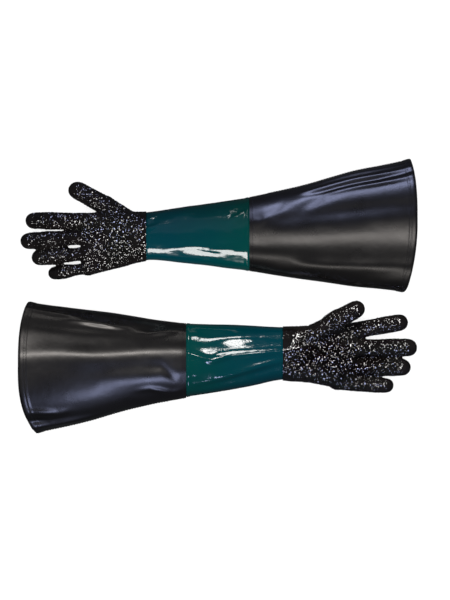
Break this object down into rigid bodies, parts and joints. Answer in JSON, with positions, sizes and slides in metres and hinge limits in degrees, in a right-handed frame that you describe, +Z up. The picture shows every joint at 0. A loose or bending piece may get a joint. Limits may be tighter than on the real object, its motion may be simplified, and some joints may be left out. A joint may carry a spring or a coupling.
{
  "type": "cryogenic gloves",
  "caption": "Pair of long gauntlet gloves with sewn flared cuffs, dipped forearm sleeves and grit-coated bending fingers.",
  "frame": {"origin": "on the table, under the middle of the pair", "axes": "+Z up; +X along the gloves, towards the fingertips of glove b and the cuff of glove a; +Y towards glove a"},
  "size_m": [0.61, 0.4184, 0.1019],
  "materials": {
    "vinyl": "black coated fabric with a soft sheen",
    "backing": "dark woven backing",
    "thread": "black stitching",
    "sleeve_pvc": "glossy dark green dipped PVC",
    "grit_pvc": "black PVC with a coarse granular grip, smooth at the fingertips",
    "liner_knit": "pale knitted cotton"
  },
  "bodies": {
    "a_cuff": {"a_cuff_panel": "vinyl", "a_cuff_backing": "backing", "a_cuff_hem": "vinyl", "a_hem_thread": "thread", "a_join_thread": "thread", "a_seam_thread": "thread"},
    "a_sleeve": {"a_sleeve_shell": "sleeve_pvc", "a_sleeve_liner": "liner_knit"},
    "a_hand": {"a_palm_coat": "grit_pvc", "a_palm_liner": "liner_knit"},
    "a_thumb_base": {"a_thumb_base_coat": "grit_pvc", "a_thumb_base_liner": "liner_knit"},
    "a_thumb_tip": {"a_thumb_tip_coat": "grit_pvc", "a_thumb_tip_liner": "liner_knit"},
    "a_index_base": {"a_index_base_coat": "grit_pvc", "a_index_base_liner": "liner_knit"},
    "a_index_tip": {"a_index_tip_coat": "grit_pvc", "a_index_tip_liner": "liner_knit"},
    "a_middle_base": {"a_middle_base_coat": "grit_pvc", "a_middle_base_liner": "liner_knit"},
    "a_middle_tip": {"a_middle_tip_coat": "grit_pvc", "a_middle_tip_liner": "liner_knit"},
    "a_ring_base": {"a_ring_base_coat": "grit_pvc", "a_ring_base_liner": "liner_knit"},
    "a_ring_tip": {"a_ring_tip_coat": "grit_pvc", "a_ring_tip_liner": "liner_knit"},
    "a_little_base": {"a_little_base_coat": "grit_pvc", "a_little_base_liner": "liner_knit"},
    "a_little_tip": {"a_little_tip_coat": "grit_pvc", "a_little_tip_liner": "liner_knit"},
    "b_cuff": {"b_cuff_panel": "vinyl", "b_cuff_backing": "backing", "b_cuff_hem": "vinyl", "b_hem_thread": "thread", "b_join_thread": "thread", "b_seam_thread": "thread"},
    "b_sleeve": {"b_sleeve_shell": "sleeve_pvc", "b_sleeve_liner": "liner_knit"},
    "b_hand": {"b_palm_coat": "grit_pvc", "b_palm_liner": "liner_knit"},
    "b_thumb_base": {"b_thumb_base_coat": "grit_pvc", "b_thumb_base_liner": "liner_knit"},
    "b_thumb_tip": {"b_thumb_tip_coat": "grit_pvc", "b_thumb_tip_liner": "liner_knit"},
    "b_index_base": {"b_index_base_coat": "grit_pvc", "b_index_base_liner": "liner_knit"},
    "b_index_tip": {"b_index_tip_coat": "grit_pvc", "b_index_tip_liner": "liner_knit"},
    "b_middle_base": {"b_middle_base_coat": "grit_pvc", "b_middle_base_liner": "liner_knit"},
    "b_middle_tip": {"b_middle_tip_coat": "grit_pvc", "b_middle_tip_liner": "liner_knit"},
    "b_ring_base": {"b_ring_base_coat": "grit_pvc", "b_ring_base_liner": "liner_knit"},
    "b_ring_tip": {"b_ring_tip_coat": "grit_pvc", "b_ring_tip_liner": "liner_knit"},
    "b_little_base": {"b_little_base_coat": "grit_pvc", "b_little_base_liner": "liner_knit"},
    "b_little_tip": {"b_little_tip_coat": "grit_pvc", "b_little_tip_liner": "liner_knit"}
  },
  "joints": [
    {"name": "a_sleeve_bend", "type": "hinge", "parent": "a_cuff", "child": "a_sleeve", "pos_m": [0.05, 0.0964, 0.0425], "axis": [0, -1, 0], "range_deg": [-15, 15], "stiffness_Nm_per_rad": 8},
    {"name": "a_wrist_bend", "type": "hinge", "parent": "a_sleeve", "child": "a_hand", "pos_m": [-0.11, 0.0943, 0.031], "axis": [0, -1, 0], "range_deg": [-25, 25], "stiffness_Nm_per_rad": 3},
    {"name": "a_thumb_knuckle", "type": "hinge", "parent": "a_hand", "child": "a_thumb_base", "pos_m": [-0.174, 0.141, 0.023], "axis": [-0.4859, -0.7674, 0.4184], "range_deg": [0, 30], "stiffness_Nm_per_rad": 0.15},
    {"name": "a_thumb_curl", "type": "hinge", "parent": "a_thumb_base", "child": "a_thumb_tip", "pos_m": [-0.19052, 0.15, 0.02032], "axis": [-0.5171, -0.7503, 0.4118], "range_deg": [0, 30], "stiffness_Nm_per_rad": 0.06},
    {"name": "a_index_knuckle", "type": "hinge", "parent": "a_hand", "child": "a_index_base", "pos_m": [-0.211, 0.1172, 0.031], "axis": [-0.007, -1, 0], "range_deg": [0, 45], "stiffness_Nm_per_rad": 0.15},
    {"name": "a_index_curl", "type": "hinge", "parent": "a_index_base", "child": "a_index_tip", "pos_m": [-0.24095, 0.11741, 0.0274], "axis": [-0.007, -1, 0], "range_deg": [0, 45], "stiffness_Nm_per_rad": 0.06},
    {"name": "a_middle_knuckle", "type": "hinge", "parent": "a_hand", "child": "a_middle_base", "pos_m": [-0.211, 0.0916, 0.031], "axis": [0.0643, -0.9979, 0], "range_deg": [0, 45], "stiffness_Nm_per_rad": 0.15},
    {"name": "a_middle_curl", "type": "hinge", "parent": "a_middle_base", "child": "a_middle_tip", "pos_m": [-0.24422, 0.08946, 0.02744], "axis": [0.0643, -0.9979, 0], "range_deg": [0, 45], "stiffness_Nm_per_rad": 0.06},
    {"name": "a_ring_knuckle", "type": "hinge", "parent": "a_hand", "child": "a_ring_base", "pos_m": [-0.211, 0.066, 0.031], "axis": [0.0808, -0.9967, 0], "range_deg": [0, 45], "stiffness_Nm_per_rad": 0.15},
    {"name": "a_ring_curl", "type": "hinge", "parent": "a_ring_base", "child": "a_ring_tip", "pos_m": [-0.23691, 0.0639, 0.02731], "axis": [0.0808, -0.9967, 0], "range_deg": [0, 45], "stiffness_Nm_per_rad": 0.06},
    {"name": "a_little_knuckle", "type": "hinge", "parent": "a_hand", "child": "a_little_base", "pos_m": [-0.211, 0.0426, 0.031], "axis": [0.136, -0.9907, 0], "range_deg": [0, 45], "stiffness_Nm_per_rad": 0.15},
    {"name": "a_little_curl", "type": "hinge", "parent": "a_little_base", "child": "a_little_tip", "pos_m": [-0.22721, 0.04037, 0.02568], "axis": [0.136, -0.9907, 0], "range_deg": [0, 45], "stiffness_Nm_per_rad": 0.06},
    {"name": "b_sleeve_bend", "type": "hinge", "parent": "b_cuff", "child": "b_sleeve", "pos_m": [-0.05, -0.0964, 0.0425], "axis": [0, -1, 0], "range_deg": [-15, 15], "stiffness_Nm_per_rad": 8},
    {"name": "b_wrist_bend", "type": "hinge", "parent": "b_sleeve", "child": "b_hand", "pos_m": [0.1, -0.0864, 0.028], "axis": [0, -1, 0], "range_deg": [-25, 25], "stiffness_Nm_per_rad": 3},
    {"name": "b_thumb_knuckle", "type": "hinge", "parent": "b_hand", "child": "b_thumb_base", "pos_m": [0.1845, -0.0343, 0.0406], "axis": [0.4569, -0.7833, -0.4216], "range_deg": [0, 30], "stiffness_Nm_per_rad": 0.15},
    {"name": "b_thumb_curl", "type": "hinge", "parent": "b_thumb_base", "child": "b_thumb_tip", "pos_m": [0.1967, -0.0277, 0.04156], "axis": [0.5004, -0.7597, -0.4152], "range_deg": [0, 30], "stiffness_Nm_per_rad": 0.06},
    {"name": "b_index_knuckle", "type": "hinge", "parent": "b_hand", "child": "b_index_base", "pos_m": [0.209, -0.0523, 0.02], "axis": [0.1788, -0.9839, 0], "range_deg": [0, 45], "stiffness_Nm_per_rad": 0.15},
    {"name": "b_index_curl", "type": "hinge", "parent": "b_index_base", "child": "b_index_tip", "pos_m": [0.2379, -0.04705, 0.01968], "axis": [0.1788, -0.9839, 0], "range_deg": [0, 45], "stiffness_Nm_per_rad": 0.06},
    {"name": "b_middle_knuckle", "type": "hinge", "parent": "b_hand", "child": "b_middle_base", "pos_m": [0.209, -0.0795, 0.02], "axis": [0.0158, -0.9999, 0], "range_deg": [0, 45], "stiffness_Nm_per_rad": 0.15},
    {"name": "b_middle_curl", "type": "hinge", "parent": "b_middle_base", "child": "b_middle_tip", "pos_m": [0.24361, -0.07895, 0.01968], "axis": [0.0158, -0.9999, 0], "range_deg": [0, 45], "stiffness_Nm_per_rad": 0.06},
    {"name": "b_ring_knuckle", "type": "hinge", "parent": "b_hand", "child": "b_ring_base", "pos_m": [0.209, -0.1075, 0.02], "axis": [-0.011, -0.9999, 0], "range_deg": [0, 45], "stiffness_Nm_per_rad": 0.15},
    {"name": "b_ring_curl", "type": "hinge", "parent": "b_ring_base", "child": "b_ring_tip", "pos_m": [0.23962, -0.10784, 0.01968], "axis": [-0.011, -0.9999, 0], "range_deg": [0, 45], "stiffness_Nm_per_rad": 0.06},
    {"name": "b_little_knuckle", "type": "hinge", "parent": "b_hand", "child": "b_little_base", "pos_m": [0.209, -0.1333, 0.02], "axis": [-0.0617, -0.9981, 0], "range_deg": [0, 45], "stiffness_Nm_per_rad": 0.15},
    {"name": "b_little_curl", "type": "hinge", "parent": "b_little_base", "child": "b_little_tip", "pos_m": [0.22937, -0.13456, 0.02026], "axis": [-0.0617, -0.9981, 0], "range_deg": [0, 45], "stiffness_Nm_per_rad": 0.06},
    {"name": "b_lift", "type": "slide", "parent": "a_cuff", "child": "b_cuff", "axis": [0, 0, 1], "range_m": [0, 0.2]}
  ],
  "couplings": [
    {"joint": "a_thumb_curl", "follows": "a_thumb_knuckle", "ratio": 1},
    {"joint": "a_index_curl", "follows": "a_index_knuckle", "ratio": 1},
    {"joint": "a_middle_curl", "follows": "a_middle_knuckle", "ratio": 1},
    {"joint": "a_ring_curl", "follows": "a_ring_knuckle", "ratio": 1},
    {"joint": "a_little_curl", "follows": "a_little_knuckle", "ratio": 1},
    {"joint": "b_thumb_curl", "follows": "b_thumb_knuckle", "ratio": 1},
    {"joint": "b_index_curl", "follows": "b_index_knuckle", "ratio": 1},
    {"joint": "b_middle_curl", "follows": "b_middle_knuckle", "ratio": 1},
    {"joint": "b_ring_curl", "follows": "b_ring_knuckle", "ratio": 1},
    {"joint": "b_little_curl", "follows": "b_little_knuckle", "ratio": 1}
  ]
}
